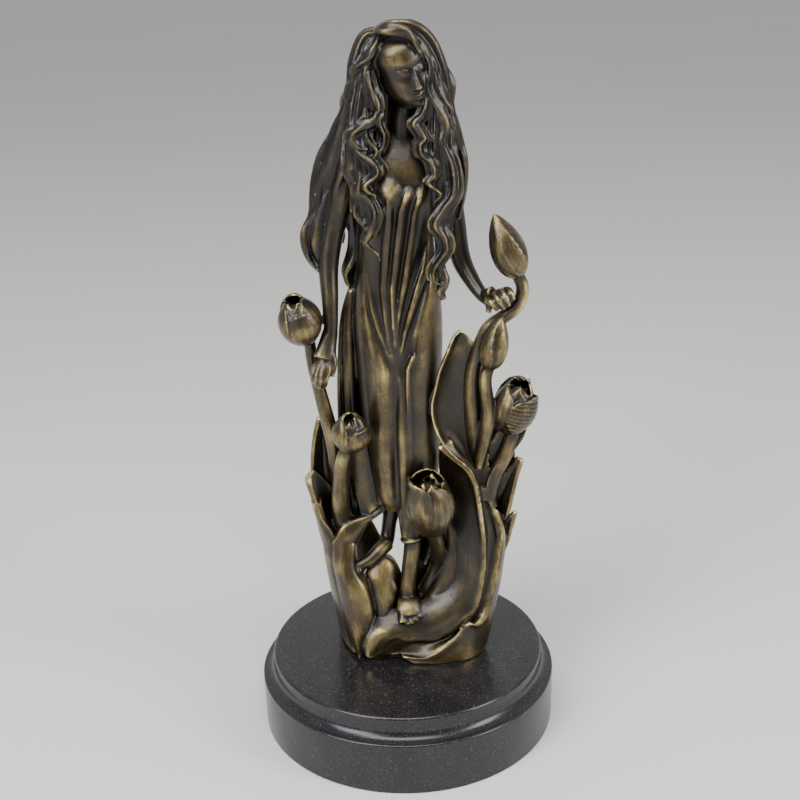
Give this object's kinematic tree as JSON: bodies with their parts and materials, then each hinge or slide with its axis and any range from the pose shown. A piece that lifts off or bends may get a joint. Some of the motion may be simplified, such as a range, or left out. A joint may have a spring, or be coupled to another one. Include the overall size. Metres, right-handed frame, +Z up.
{
  "type": "bronze statuette",
  "caption": "Bronze statuette of a long-haired girl in a pleated dress among tulips and leaves, on a round polished black marble plinth.",
  "frame": {"origin": "centre of the plinth's underside, on the surface it stands on", "axes": "+Z up; -Y towards the viewer that the girl's front faces; +X to that viewer's right"},
  "size_m": [0.1286, 0.1286, 0.2997],
  "materials": {
    "patinated_bronze": "cast bronze with a dark brown patina, rubbed to gold on the raised edges",
    "black_marble": null
  },
  "bodies": {
    "root": {"bronze_casting": "patinated_bronze", "marble_plinth": "black_marble"}
  },
  "joints": []
}
